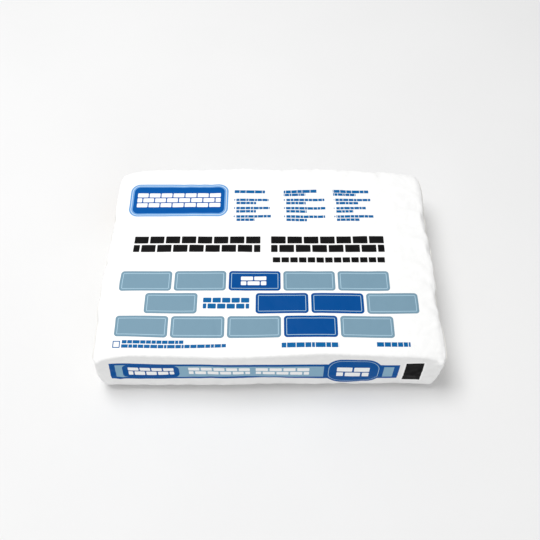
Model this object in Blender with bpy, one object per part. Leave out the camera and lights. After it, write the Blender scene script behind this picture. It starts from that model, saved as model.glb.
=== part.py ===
"""A filled paper cement sack lying flat on its back, with its pasted end patches and its valve sleeve.

The sack is a tube of paper whose two ends are folded into square block bottoms. Filled with cement, it is a
low block with a flat underside, swollen sides and a crowned top. +X is the sack's length, +Y points from the
printed long side to the plain one, and +Z is up. The origin is under the middle, on the floor.
"""

import math

import bmesh
import bpy
from mathutils import Vector

# Outside size of the filled sack, in metres.
LENGTH = 0.610
WIDTH = 0.428
HEIGHT = 0.124

# How far the cement swells each side past a plain block, and how the folded corners stand out and sink.
TOP_CROWN = 0.013
SIDE_BELLY = 0.004
END_BELLY = 0.0055
CORNER_DROP = 0.009
CORNER_SPREAD = 0.012
# Powers that say how late each of them sets in, on the way out from the middle of a side.
CROWN_TO_END = 4.6
CROWN_TO_SIDE = 3
CROWN_LOST_AT_SIDE = 0.35
BELLY_TO_CORNER = 4
DROP_TO_CORNER = 3
SPREAD_TO_CORNER = 8

# Edge roundings: along the length, across the width, and upward, at the top and at the underside.
TOP_ROUND = Vector((0.018, 0.026, 0.018))
UNDER_ROUND = Vector((0.021, 0.024, 0.026))
# How square a rounding is: 2 is an ellipse, and more is a tighter turn between flatter sides.
TOP_SQUARENESS = 3.0
UNDER_SQUARENESS = 2.5

# Paper thicknesses and the gap that parts two sheets.
PATCH_THICK = 0.0008
SLEEVE_THICK = 0.0012
SHEET_GAP = 0.0003

# Grid of the sack's skin: flat strips along each side, and strips in each half of a rounded edge.
FLAT_STRIPS = (14, 10, 3)
EDGE_STRIPS = 4
EDGE_BAND = 0.2
# One more grid line across the width, beside the valve, where the left end's patch stops.
PATCH_STOP = 0.62

# Where the sheets lie, counted in grid lines in from the edge of the end.
PATCH_INSET = 2
SLEEVE_INSET = 3
SLEEVE_ON_END = 5
SLEEVE_ON_SIDE = 5

PRINTED_PAPER = (0.90, 0.90, 0.89, 1.0)
PATCH_PAPER = (0.86, 0.86, 0.84, 1.0)
KRAFT_PAPER = (0.55, 0.40, 0.26, 1.0)
PAPER_ROUGHNESS = 0.85

BLOCK_LENGTH = LENGTH - 2 * (END_BELLY + SHEET_GAP + PATCH_THICK)
BLOCK_WIDTH = WIDTH - 2 * SIDE_BELLY
BLOCK_HEIGHT = HEIGHT - TOP_CROWN


def clear_scene():
    for old in list(bpy.data.objects):
        bpy.data.objects.remove(old)


def grid_lines(flat_strips, added=()):
    """Places from -1 to 1 across one side: even strips on the flat, and finer ones round each edge."""
    flat = 1 - EDGE_BAND
    edge = [flat + EDGE_BAND * (k + 1) / EDGE_STRIPS for k in range(EDGE_STRIPS)]
    middle = [flat * (2 * k / flat_strips - 1) for k in range(flat_strips + 1)]
    return sorted([-e for e in edge] + middle + list(added) + edge)


def flat_share(q):
    """How far across the flat part of a side a place is, from -1 to 1."""
    return max(-1.0, min(1.0, q / (1 - EDGE_BAND)))


def edge_turn(q):
    """0 on the flat part, rising to 1 on the line that halves the rounded edge."""
    past = max(0.0, abs(q) - (1 - EDGE_BAND)) / EDGE_BAND
    return math.copysign(math.tan(past * math.pi / 4), q)


def rounded_block(place):
    """A point of the plain block with rounded edges, for a place on the surface of a cube."""
    share = [flat_share(q) for q in place]
    lift = (share[2] + 1) / 2
    radius = UNDER_ROUND.lerp(TOP_ROUND, lift)
    squareness = UNDER_SQUARENESS + lift * (TOP_SQUARENESS - UNDER_SQUARENESS)
    turn = [edge_turn(q) for q in place]
    size = sum(abs(t) ** squareness for t in turn) ** (1 / squareness)
    way = Vector(turn) / size
    x = share[0] * (BLOCK_LENGTH / 2 - radius.x) + radius.x * way.x
    y = share[1] * (BLOCK_WIDTH / 2 - radius.y) + radius.y * way.y
    low = UNDER_ROUND.z
    high = BLOCK_HEIGHT - TOP_ROUND.z
    z = low + lift * (high - low) + (UNDER_ROUND.z if way.z < 0 else TOP_ROUND.z) * way.z
    return Vector((x, y, z))


def swell(point):
    """Moves a point of the plain block to where the cement pushes the paper."""
    u = abs(point.x) / (BLOCK_LENGTH / 2)
    v = abs(point.y) / (BLOCK_WIDTH / 2)
    w = point.z / BLOCK_HEIGHT
    belly = math.sin(math.pi * w)
    end_belly = END_BELLY * belly * (1 - v**BELLY_TO_CORNER)
    side_belly = SIDE_BELLY * belly * (1 - u**BELLY_TO_CORNER)
    spread = 1 + CORNER_SPREAD * (u * v) ** SPREAD_TO_CORNER
    crown = TOP_CROWN * (1 - u**CROWN_TO_END) * (1 - CROWN_LOST_AT_SIDE * v**CROWN_TO_SIDE)
    drop = CORNER_DROP * (u * v) ** DROP_TO_CORNER
    return Vector(
        (
            point.x * spread + math.copysign(end_belly, point.x),
            point.y * spread + math.copysign(side_belly, point.y),
            point.z + (crown - drop) * w * w,
        )
    )


class Skin:
    """The sack's surface as one closed grid, which the sheets pasted on it are cut from."""

    def __init__(self):
        added = ((), (PATCH_STOP,), ())
        self.lines = [grid_lines(n, extra) for n, extra in zip(FLAT_STRIPS, added)]
        self.last = [len(line) - 1 for line in self.lines]
        self.mesh = bmesh.new()
        self.points = {}
        for axis in range(3):
            for end in (0, self.last[axis]):
                for quad in self.side_quads(axis, end):
                    self.mesh.faces.new([self.point(at) for at in quad])
        bmesh.ops.recalc_face_normals(self.mesh, faces=self.mesh.faces)
        self.mesh.normal_update()

    def point(self, at):
        if at not in self.points:
            place = [line[k] for line, k in zip(self.lines, at)]
            self.points[at] = self.mesh.verts.new(swell(rounded_block(place)))
        return self.points[at]

    def side_quads(self, axis, end, first=None, past=None):
        """Grid squares of one of the six sides, in grid numbers, inside the given ranges."""
        a, b = (k for k in range(3) if k != axis)
        first = first or (0, 0)
        past = past or (self.last[a], self.last[b])
        for i in range(first[0], past[0]):
            for j in range(first[1], past[1]):
                quad = []
                for di, dj in ((0, 0), (1, 0), (1, 1), (0, 1)):
                    at = [0, 0, 0]
                    at[axis], at[a], at[b] = end, i + di, j + dj
                    quad.append(tuple(at))
                yield quad

    def sheet(self, quads, gap):
        """A copy of some of the grid squares, held off the sack by the gap."""
        sheet = bmesh.new()
        made = {}
        for quad in quads:
            for at in quad:
                if at not in made:
                    under = self.points[at]
                    made[at] = sheet.verts.new(under.co + gap * under.normal)
            sheet.faces.new([made[at] for at in quad])
        bmesh.ops.recalc_face_normals(sheet, faces=sheet.faces)
        if sum(f.normal.dot(f.calc_center_median()) for f in sheet.faces) < 0:
            bmesh.ops.reverse_faces(sheet, faces=sheet.faces)
        return sheet


def paper(name, colour):
    material = bpy.data.materials.new(name)
    material.use_nodes = True
    shader = material.node_tree.nodes["Principled BSDF"]
    shader.inputs["Base Color"].default_value = colour
    shader.inputs["Roughness"].default_value = PAPER_ROUGHNESS
    shader.inputs["Metallic"].default_value = 0.0
    return material


def add_object(name, shape, material):
    mesh = bpy.data.meshes.new(name)
    shape.to_mesh(mesh)
    shape.free()
    mesh.shade_smooth()
    mesh.materials.append(material)
    made = bpy.data.objects.new(name, mesh)
    bpy.context.scene.collection.objects.link(made)
    return made


def thicken(sheet, thickness):
    """Gives a sheet its paper thickness, outward from the sack."""
    solid = sheet.modifiers.new("paper_thickness", "SOLIDIFY")
    solid.thickness = thickness
    solid.offset = 1.0


def end_patch_quads(skin, end):
    """The cover sheet pasted over the folded flaps of one end."""
    first = (PATCH_INSET, PATCH_INSET)
    past = (skin.last[1] - PATCH_INSET, skin.last[2] - PATCH_INSET)
    if end == 0:
        past = (skin.lines[1].index(PATCH_STOP), past[1])
    return list(skin.side_quads(0, end, first, past))


def valve_sleeve_quads(skin):
    """The valve's tongue, folded flat round the corner of the left end and the plain long side."""
    low, high = SLEEVE_INSET, skin.last[2] - SLEEVE_INSET
    on_end = skin.side_quads(0, 0, (skin.last[1] - SLEEVE_ON_END, low), (skin.last[1], high))
    on_side = skin.side_quads(1, skin.last[1], (0, low), (SLEEVE_ON_SIDE, high))
    return list(on_end) + list(on_side)


def build():
    clear_scene()
    skin = Skin()
    patch_paper = paper("patch_paper", PATCH_PAPER)
    sheets = (
        ("end_patch_left", end_patch_quads(skin, 0), patch_paper, PATCH_THICK),
        ("end_patch_right", end_patch_quads(skin, skin.last[0]), patch_paper, PATCH_THICK),
        ("valve_sleeve", valve_sleeve_quads(skin), paper("kraft_paper", KRAFT_PAPER), SLEEVE_THICK),
    )
    for name, quads, material, thickness in sheets:
        thicken(add_object(name, skin.sheet(quads, SHEET_GAP), material), thickness)
    add_object("sack", skin.mesh, paper("printed_paper", PRINTED_PAPER))


build()
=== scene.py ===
"""The looks of a filled paper cement sack: printed paper drawn tight over the cement, the pasted end
patches, and the kraft valve sleeve folded round one corner, on a pale floor under soft studio light."""

import math
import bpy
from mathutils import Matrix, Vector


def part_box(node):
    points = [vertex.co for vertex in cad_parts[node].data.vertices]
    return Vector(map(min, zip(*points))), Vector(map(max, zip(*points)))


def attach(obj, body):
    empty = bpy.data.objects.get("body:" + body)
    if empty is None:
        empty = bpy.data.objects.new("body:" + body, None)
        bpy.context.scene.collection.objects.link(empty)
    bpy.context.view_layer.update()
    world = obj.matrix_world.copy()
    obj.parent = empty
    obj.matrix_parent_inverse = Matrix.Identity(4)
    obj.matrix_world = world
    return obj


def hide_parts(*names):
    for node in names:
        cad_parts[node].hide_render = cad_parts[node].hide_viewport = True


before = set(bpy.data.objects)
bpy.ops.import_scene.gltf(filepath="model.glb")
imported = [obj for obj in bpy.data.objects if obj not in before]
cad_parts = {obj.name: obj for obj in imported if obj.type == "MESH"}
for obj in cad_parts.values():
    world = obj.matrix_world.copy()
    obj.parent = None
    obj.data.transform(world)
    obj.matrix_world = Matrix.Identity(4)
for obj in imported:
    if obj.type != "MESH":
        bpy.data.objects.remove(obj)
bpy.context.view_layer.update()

from types import SimpleNamespace

import bpy
import numpy as np
from mathutils import Vector, noise
from mathutils.bvhtree import BVHTree

BODY = "root"

# The sack's outside, from the frame.
SACK_LOW, SACK_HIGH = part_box("sack")
LENGTH = SACK_HIGH.x - SACK_LOW.x
WIDTH = SACK_HIGH.y - SACK_LOW.y
HEIGHT = SACK_HIGH.z

# How the cement swells each side past a plain block, as the solid has it.
TOP_CROWN = 0.013
CROWN_LOST_AT_SIDE = 0.35
SIDE_BELLY = 0.004
END_BELLY = 0.0055
CORNER_DROP = 0.009
CORNER_SPREAD = 0.012
# Powers that say how late each of them sets in, on the way out from the middle of a side.
CROWN_TO_END = 4.6
CROWN_TO_SIDE = 3
BELLY_TO_CORNER = 4
DROP_TO_CORNER = 3
SPREAD_TO_CORNER = 8
# Edge roundings along the length, across the width and upward, and how square they are.
TOP_ROUND = np.array((0.018, 0.026, 0.018))
UNDER_ROUND = np.array((0.021, 0.024, 0.026))
TOP_SQUARENESS = 3.0
UNDER_SQUARENESS = 2.5
BLOCK = np.array((LENGTH - 2 * END_BELLY, WIDTH - 2 * SIDE_BELLY, HEIGHT - TOP_CROWN))

# The printed side's top edge is creased tighter than the others, all but its ends.
FRONT_EDGE_ROUND = np.array((0.018, 0.008, 0.0075))
FRONT_EDGE_REACH = (0.97, 0.70)
# How far the side leans back towards that edge, at places along it.
LEAN_ALONG = (-0.275, -0.235, -0.165, -0.095, -0.035, 0.045, 0.095, 0.150, 0.215, 0.270)
LEAN_BACK = (0.0030, 0.0050, 0.0050, 0.0020, 0.0020, 0.0044, 0.0060, 0.0055, 0.0060, 0.0078)

# Grid of the paper: flat strips along each side, and strips in each half of a rounded edge.
FLAT_STRIPS = (84, 60, 12)
EDGE_STRIPS = 6
EDGE_BAND = 0.2
# Places this far out along an axis of the grid are on one of that axis's two sides.
ON_SIDE = 0.999

# How much the top's print bows towards the back at the ends, as a share of what the crown drops there.
PRINT_BOW = 0.62
# The line that the front side's print is measured from: heights at places along it.
FRONT_LINE_ALONG = (-0.30, -0.23, -0.18, -0.137, -0.10, -0.045, 0.09, 0.24)
FRONT_LINE_HEIGHTS = (0.0668, 0.0645, 0.0682, 0.0710, 0.0733, 0.0735, 0.0652, 0.0645)

# Where the real sack bulges or sinks away from an even one: place, reach and push, in metres. They run from
# the ends to the corners, the back edge, the top by the front edge, and the foot of the front side.
BULGES = (
    ((-0.305, -0.065, 0.09), 0.045, (-0.0035, 0, 0)),
    ((-0.305, 0.085, 0.09), 0.060, (0.0022, 0, 0)),
    ((0.305, 0.160, 0.09), 0.035, (0.0025, 0, 0)),
    ((0.305, -0.030, 0.09), (0.035, 0.035, 0.045), (0.0022, 0, 0)),
    ((0.305, -0.095, 0.09), 0.040, (-0.0012, 0, 0)),
    ((0.305, -0.165, 0.08), 0.030, (0.0045, 0, 0)),
    ((-0.300, -0.210, 0.048), (0.030, 0.025, 0.022), (-0.0040, -0.0008, 0)),
    ((-0.303, 0.214, 0.095), (0.016, 0.020, 0.045), (0.0050, -0.0075, -0.0010)),
    ((0.303, 0.214, 0.095), (0.016, 0.020, 0.045), (-0.0030, -0.0045, -0.0010)),
    ((-0.250, 0.200, 0.10), 0.050, (0, 0.0015, 0.0010)),
    ((-0.050, 0.200, 0.10), (0.035, 0.040, 0.040), (0, 0.0015, 0.0010)),
    ((0.020, 0.200, 0.10), (0.025, 0.040, 0.040), (0, -0.0018, -0.0010)),
    ((0.095, 0.200, 0.10), (0.035, 0.040, 0.040), (0, 0.0015, 0.0015)),
    ((0.240, 0.200, 0.10), 0.055, (0, -0.0015, -0.0010)),
    ((-0.255, -0.200, 0.11), 0.045, (0, 0.0025, 0.0035)),
    ((0.090, -0.200, 0.11), 0.060, (0, 0.0015, 0.0025)),
    ((-0.130, -0.217, 0.02), (0.090, 0.040, 0.024), (0, -0.0022, 0)),
    ((0.000, -0.217, 0.02), (0.045, 0.040, 0.024), (0, 0.0022, 0)),
    ((0.210, -0.217, 0.02), (0.090, 0.040, 0.024), (0, 0.0020, 0)),
)
# Lumps of the filling under the paper, broad and small, and how far the paper lies inside the solid.
LUMP_HEIGHT = 0.0016
LUMP_PITCH = (0.10, 0.07, 0.05)
SMALL_LUMP_PITCH = 0.022
SMALL_LUMP_SHARE = 0.35
PAPER_INSET = 0.0008

# The paper's slack, and how firmly the cement holds it: in the middle of a side, and at the edges.
SLACK_IN_MIDDLE = 0.004
SLACK_AT_EDGE = 0.010
HELD_IN_MIDDLE = 0.8
HELD_AT_EDGE = 0.05
HELD_BAND = (0.55, 0.95)
# The printed side's top edge is drawn tight: how much of the buckling it is spared, and where on the grid.
DRAWN_TIGHT = 0.9
TIGHT_FORWARD = (0.45, 0.85)
TIGHT_UPWARD = (-0.5, 0.5)
SETTLE_FRAMES = 20
SETTLE_LIMIT = 0.004


def smoothstep(low, high, x):
    t = np.clip((x - low) / (high - low), 0, 1)
    return t * t * (3 - 2 * t)


def noise_at(points, pitch, shift=0.0):
    """Smooth noise from about -1 to 1 at each point, with lumps of the given pitch."""
    scaled = points / np.array(pitch) + shift
    values = [noise.noise(Vector(p)) for p in scaled.reshape(-1, 3).tolist()]
    return np.array(values).reshape(scaled.shape[:-1])


# The sack's shape.


def grid_lines(flat_strips):
    """Places from -1 to 1 across one side: even strips on the flat, and finer ones round each edge."""
    flat = 1 - EDGE_BAND
    edge = [flat + EDGE_BAND * (k + 1) / EDGE_STRIPS for k in range(EDGE_STRIPS)]
    middle = [flat * (2 * k / flat_strips - 1) for k in range(flat_strips + 1)]
    return np.array(sorted([-e for e in edge] + middle + edge))


def rounded_block(place):
    """Points of the plain block with rounded edges, for places on the surface of a cube."""
    share = np.clip(place / (1 - EDGE_BAND), -1, 1)
    past = np.clip(np.abs(place) - (1 - EDGE_BAND), 0, None) / EDGE_BAND
    turn = np.copysign(np.tan(past * math.pi / 4), place)
    lift = (share[:, 2:] + 1) / 2
    forward = np.clip(-share[:, 1], 0, 1)
    creased = (smoothstep(*FRONT_EDGE_REACH, np.abs(place[:, 0])) * forward)[:, None]
    top_round = TOP_ROUND * (1 - creased) + FRONT_EDGE_ROUND * creased
    radius = UNDER_ROUND * (1 - lift) + top_round * lift
    squareness = UNDER_SQUARENESS * (1 - lift) + TOP_SQUARENESS * lift
    size = (np.abs(turn) ** squareness).sum(1, keepdims=True) ** (1 / squareness)
    way = turn / size
    made = share * (BLOCK / 2 - radius) + radius * way
    low = UNDER_ROUND[2]
    high = BLOCK[2] - top_round[:, 2]
    rise = np.where(way[:, 2] < 0, UNDER_ROUND[2], top_round[:, 2]) * way[:, 2]
    made[:, 2] = low + lift[:, 0] * (high - low) + rise
    made[:, 1] += np.interp(made[:, 0], LEAN_ALONG, LEAN_BACK) * creased[:, 0] * lift[:, 0]
    return made


def swell(points):
    """Moves points of the plain block to where the cement pushes the paper."""
    u = np.abs(points[:, 0]) / (BLOCK[0] / 2)
    v = np.abs(points[:, 1]) / (BLOCK[1] / 2)
    w = points[:, 2] / BLOCK[2]
    belly = np.sin(math.pi * w)
    end_belly = END_BELLY * belly * (1 - v**BELLY_TO_CORNER)
    side_belly = SIDE_BELLY * belly * (1 - u**BELLY_TO_CORNER)
    spread = 1 + CORNER_SPREAD * (u * v) ** SPREAD_TO_CORNER
    crown = TOP_CROWN * (1 - u**CROWN_TO_END) * (1 - CROWN_LOST_AT_SIDE * v**CROWN_TO_SIDE)
    drop = CORNER_DROP * (u * v) ** DROP_TO_CORNER
    made = points.copy()
    made[:, 0] = points[:, 0] * spread + np.copysign(end_belly, points[:, 0])
    made[:, 1] = points[:, 1] * spread + np.copysign(side_belly, points[:, 1])
    made[:, 2] += (crown - drop) * w * w
    return made


def bulge(points):
    """Adds the uneven bulges and hollows of the photographed sack."""
    made = points.copy()
    for place, reach, push in BULGES:
        away = (((points - np.array(place)) / np.array(reach)) ** 2).sum(1)
        made += np.exp(-away / 2)[:, None] * np.array(push)
    return made


class PaperGrid:
    """The sack's surface as one closed grid of squares, with each point's place on the flat paper."""

    def __init__(self):
        self.lines = [grid_lines(n) for n in FLAT_STRIPS]
        self.last = [len(line) - 1 for line in self.lines]
        self.number = {}
        self.quads = []
        for axis in range(3):
            for end in (0, self.last[axis]):
                self.add_side(axis, end)
        self.places = np.array([[self.lines[a][at[a]] for a in range(3)] for at in self.number])
        self.even = swell(rounded_block(self.places))
        self.paper = self.lay_flat()
        self.front_paper = self.lay_front_flat()

    def vertex(self, at):
        return self.number.setdefault(at, len(self.number))

    def add_side(self, axis, end):
        a, b = (k for k in range(3) if k != axis)
        outward = (end > 0) != (axis == 1)
        for i in range(self.last[a]):
            for j in range(self.last[b]):
                quad = []
                for di, dj in ((0, 0), (1, 0), (1, 1), (0, 1)):
                    at = [0, 0, 0]
                    at[axis], at[a], at[b] = end, i + di, j + dj
                    quad.append(self.vertex(tuple(at)))
                self.quads.append(quad if outward else quad[::-1])

    def half_ring(self, side):
        """Grid places across half the tube, from the top's middle over one long side to the underside's."""
        middle, top = self.last[1] // 2, self.last[2]
        edge = 0 if side < 0 else self.last[1]
        across = list(range(middle, edge, side))
        down = [(edge, k) for k in range(top, -1, -1)]
        return [(j, top) for j in across] + down + [(j, 0) for j in reversed(across)]

    def lay_flat(self):
        """How far each point lies along and across the paper from the top's middle, before it was filled."""
        paper = np.stack([self.even[:, 0], self.even[:, 1]], 1)
        for side in (-1, 1):
            ring = self.half_ring(side)
            for i in range(self.last[0] + 1):
                line = [self.number[(i, j, k)] for j, k in ring]
                paper[line, 1] = side * run_along(self.even[line])
            for j, k in ring:
                line = [self.number[(i, j, k)] for i in range(self.last[0] + 1)]
                along = run_along(self.even[line])
                paper[line, 0] = along - along[len(along) // 2]
        dropped = TOP_CROWN * (np.abs(self.even[:, 0]) / (BLOCK[0] / 2)) ** CROWN_TO_END
        paper[:, 1] -= PRINT_BOW * dropped
        return paper

    def lay_front_flat(self):
        """The same for the front side alone, counted up and down from the line along its middle."""
        paper = self.paper.copy()
        for i in range(self.last[0] + 1):
            line = [self.number[(i, 0, k)] for k in range(self.last[2] + 1)]
            height = np.interp(self.even[line[0], 0], FRONT_LINE_ALONG, FRONT_LINE_HEIGHTS)
            paper[line, 1] -= np.interp(height, self.even[line, 2], self.paper[line, 1])
        return paper


def run_along(points):
    """The distance run to each point of a line."""
    steps = np.linalg.norm(np.diff(points, axis=0), axis=1)
    return np.concatenate([[0.0], np.cumsum(steps)])


def points_of(mesh, what="co"):
    """The places of a mesh's points, or their normals."""
    values = np.zeros(len(mesh.vertices) * 3)
    mesh.vertices.foreach_get(what, values)
    return values.reshape(-1, 3)


def move_points(mesh, points):
    mesh.vertices.foreach_set("co", np.asarray(points, float).ravel())
    mesh.update()


def store_at_points(mesh, name, values):
    """Keeps three numbers with each point, which a subdivision spreads over its new points."""
    stored = mesh.attributes.new(name, "FLOAT_VECTOR", "POINT")
    stored.data.foreach_set("vector", values.astype(np.float32).ravel())


def stored_at_points(mesh, name):
    """Gives back the numbers kept with each point, which the finished mesh does without."""
    values = np.zeros(len(mesh.vertices) * 3, np.float32)
    mesh.attributes[name].data.foreach_get("vector", values)
    return values.reshape(-1, 3)


def new_piece(name, points, faces):
    mesh = bpy.data.meshes.new(name)
    mesh.from_pydata(np.asarray(points).tolist(), [], faces)
    mesh.shade_smooth()
    piece = bpy.data.objects.new(name, mesh)
    bpy.context.scene.collection.objects.link(piece)
    return piece


def bake_modifiers(piece):
    """Replaces a piece's mesh with what its modifiers make of it."""
    evaluated = piece.evaluated_get(bpy.context.evaluated_depsgraph_get())
    made = bpy.data.meshes.new_from_object(evaluated)
    piece.modifiers.clear()
    piece.data = made


def weigh_points(sack, name, weights):
    """A group that holds a weight for each point of the sack."""
    group = sack.vertex_groups.new(name=name)
    for vertex, weight in enumerate(weights):
        group.add([vertex], float(weight), "REPLACE")
    return group.name


def drawn_tight(place):
    """The share of its buckling that the paper is spared, along the printed side's top edge."""
    return DRAWN_TIGHT * smoothstep(*TIGHT_FORWARD, -place[:, 1]) * smoothstep(*TIGHT_UPWARD, place[:, 2])


def settle_paper(sack, grid):
    """Lets the paper buckle over the cement, as a sheet a little too large for what it wraps."""
    rest = points_of(sack.data)
    near_edge = np.sort(np.abs(grid.places), axis=1)[:, 1]
    loose = smoothstep(*HELD_BAND, near_edge) * (1 - drawn_tight(grid.places))
    held = HELD_IN_MIDDLE * (1 - loose) + HELD_AT_EDGE * loose
    held = np.where(grid.places[:, 2] <= -1, HELD_IN_MIDDLE, held)
    cloth = sack.modifiers.new("paper", "CLOTH")
    paper = cloth.settings
    paper.quality = 5
    paper.mass = 0.3
    paper.tension_stiffness = 40
    paper.compression_stiffness = 40
    paper.shear_stiffness = 20
    paper.bending_stiffness = 25
    paper.air_damping = 2
    paper.vertex_group_mass = weigh_points(sack, "held_by_cement", held)
    paper.pin_stiffness = 1
    paper.vertex_group_shrink = weigh_points(sack, "taut", 1 - loose)
    paper.shrink_min = -SLACK_AT_EDGE
    paper.shrink_max = -SLACK_IN_MIDDLE
    paper.effector_weights.gravity = 0
    cloth.collision_settings.use_collision = False
    cloth.collision_settings.use_self_collision = False
    cloth.point_cache.frame_end = SETTLE_FRAMES
    for step in range(1, SETTLE_FRAMES + 1):
        bpy.context.scene.frame_set(step)
    bake_modifiers(sack)
    sack.vertex_groups.clear()
    moved = points_of(sack.data) - rest
    far = np.linalg.norm(moved, axis=1)[:, None]
    move_points(sack.data, rest + moved * np.minimum(1, SETTLE_LIMIT / np.maximum(far, 1e-9)))
    bpy.context.scene.frame_set(1)


def faces_on(places, corners, axis, side):
    """Which faces lie on one side of the grid."""
    return (side * places[corners][:, :, axis] >= ON_SIDE).all(1)


def sack_paper(grid):
    """The paper tube over the cement."""
    points = bulge(grid.even)
    sack = new_piece("paper_sack", points, grid.quads)
    small = noise_at(points, SMALL_LUMP_PITCH, shift=7.0) * (1 - drawn_tight(grid.places))
    lumps = noise_at(points, LUMP_PITCH) + SMALL_LUMP_SHARE * small
    points += points_of(sack.data, "normal") * (LUMP_HEIGHT * lumps - PAPER_INSET)[:, None]
    points[:, 2] = np.maximum(points[:, 2], 0)
    move_points(sack.data, points)
    store_at_points(sack.data, "place", grid.places)
    store_at_points(sack.data, "sheet", np.c_[grid.paper, np.zeros(len(grid.paper))])
    corners = np.array(grid.quads)
    on_front = faces_on(grid.places, corners, 1, -1)
    flat = np.where(on_front[:, None, None], grid.front_paper[corners], grid.paper[corners])
    paper = sack.data.uv_layers.new(name="paper")
    paper.uv.foreach_set("vector", flat.astype(np.float32).ravel())
    settle_paper(sack, grid)
    smooth = sack.modifiers.new("smooth", "SUBSURF")
    smooth.levels = smooth.render_levels = 1
    bake_modifiers(sack)
    crease_paper(sack.data)
    return sack


# Folds finer than the settling makes. The side fold wanders in waves, each with its height, turn and start.
SIDE_FOLD_HEIGHT = 0.054
SIDE_FOLD = 0.0010
SIDE_FOLD_HALF_WIDTH = 0.003
SIDE_FOLD_WANDER = ((0.002, 21, 0), (0.001, 57, 1))
GUSSET_FOLD = 0.0013
GUSSET_HALF_WIDTH = 0.006
FLAP_STEP = 0.0010
FLAP_EDGE = 0.001
SEAM_ACROSS = 0.075
SEAM_STEP = 0.0007
SEAM_EDGE = 0.0015
SEAM_REACH = 0.05
COCKLE = 0.0003
COCKLE_PITCH = (0.05, 0.035, 0.03)
# Creases from handling: how many, their length, half width and height, and how far each turns from square.
CREASE_SEED = 5
LONG_EDGE_CREASES = 36
END_EDGE_CREASES = 20
CREASE_LENGTH = (0.018, 0.060)
CREASE_HALF_WIDTH = (0.0035, 0.0080)
CREASE_HEIGHT = (0.0004, 0.0012)
CREASE_TURN = 0.75
CREASE_AT_ITS_ENDS = 0.25
CREASE_SCATTER = 0.006
FRONT_CREASE_SHARE = 0.15
# Where they lie: in from the top's long edges and from its ends, and out to the underside's edge.
CREASES_IN_FROM_SIDE = 0.008
CREASES_IN_FROM_END = 0.012
CREASES_OUT_TO_UNDER = 0.085


def handling_creases(random):
    """Creases across the edges of the flat sheet: each one's two ends, its height and its half width."""
    half_length, half_width = LENGTH / 2, WIDTH / 2
    low_edge = half_width + CREASES_OUT_TO_UNDER
    placed = []
    for side in (-1, 1):
        share = FRONT_CREASE_SHARE if side < 0 else 1.0
        for edge in (half_width - CREASES_IN_FROM_SIDE, low_edge):
            for along in random.uniform(-half_length, half_length, LONG_EDGE_CREASES):
                placed.append((math.pi / 2, (along, side * edge), share))
        for across in random.uniform(-low_edge, low_edge, END_EDGE_CREASES):
            placed.append((0.0, (side * (half_length - CREASES_IN_FROM_END), across), 1.0))
    creases = []
    for square, middle, share in placed:
        angle = square + random.normal(0, CREASE_TURN / 2)
        half = random.uniform(*CREASE_LENGTH) / 2
        way = half * np.array((math.cos(angle), math.sin(angle)))
        height = random.choice((-1, 1)) * random.uniform(*CREASE_HEIGHT) * share
        middle = np.array(middle) + random.normal(0, CREASE_SCATTER, 2)
        creases.append((middle - way, middle + way, height, random.uniform(*CREASE_HALF_WIDTH)))
    return creases


def crease_lift(flat, start, end, height, half_width):
    """How far one straight crease lifts each point: a sharp ridge, which fades towards both its ends."""
    way = np.asarray(end) - start
    share = np.clip(((flat - start) @ way) / (way @ way), 0, 1)
    away = np.linalg.norm(flat - start - share[:, None] * way, axis=1)
    fade = CREASE_AT_ITS_ENDS + (1 - CREASE_AT_ITS_ENDS) * np.sin(math.pi * share)
    return height * np.clip(1 - away / half_width, 0, 1) * fade


def side_fold_lift(x, z):
    """The fold along a long side, and the gusset creases that spread from it at the side's two ends."""
    wander = sum(size * np.sin(x * turn + start) for size, turn, start in SIDE_FOLD_WANDER)
    side_fold = SIDE_FOLD * np.exp(-(((z - SIDE_FOLD_HEIGHT - wander) / SIDE_FOLD_HALF_WIDTH) ** 2))
    from_end = LENGTH / 2 - np.abs(x)
    gusset = np.abs(SIDE_FOLD_HEIGHT - np.abs(z - SIDE_FOLD_HEIGHT) - from_end) / math.sqrt(2)
    return side_fold + GUSSET_FOLD * np.clip(1 - gusset / GUSSET_HALF_WIDTH, 0, 1)


def flap_lift(y, z):
    """The step at the edges of an end's folded flaps, which run in from its corners."""
    from_side = WIDTH / 2 - np.abs(y)
    from_edge = np.minimum(z, HEIGHT - TOP_CROWN - z)
    return FLAP_STEP * (smoothstep(-FLAP_EDGE, FLAP_EDGE, from_side - from_edge) - 0.5)


def crease_paper(mesh):
    """Adds the tube's side folds, the folded flaps at the ends, the back seam and creases from handling."""
    points, normals = points_of(mesh), points_of(mesh, "normal")
    place, sheet = stored_at_points(mesh, "place"), stored_at_points(mesh, "sheet")[:, :2]
    x, y, z = points.T
    on_end, on_side = np.abs(place[:, 0]) >= ON_SIDE, np.abs(place[:, 1]) >= ON_SIDE
    lift = COCKLE * noise_at(points, COCKLE_PITCH, shift=3.0)
    for crease in handling_creases(np.random.default_rng(CREASE_SEED)):
        lift += np.where(on_end, 0, crease_lift(sheet, *crease))
    lift += np.where(on_side, side_fold_lift(x, z), 0)
    lift += np.where(on_end, flap_lift(y, z), 0)
    under = place[:, 2] <= -ON_SIDE
    beside = y - SEAM_ACROSS
    seam = smoothstep(0, SEAM_EDGE, beside) * (1 - smoothstep(0, SEAM_REACH, beside))
    points += normals * np.where(under, 0, lift)[:, None]
    points[:, 2] += np.where(under, SEAM_STEP * seam, 0)
    points[:, 2] = np.maximum(points[:, 2], 0)
    move_points(mesh, points)
    mesh.attributes.remove(mesh.attributes["sheet"])


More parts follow.
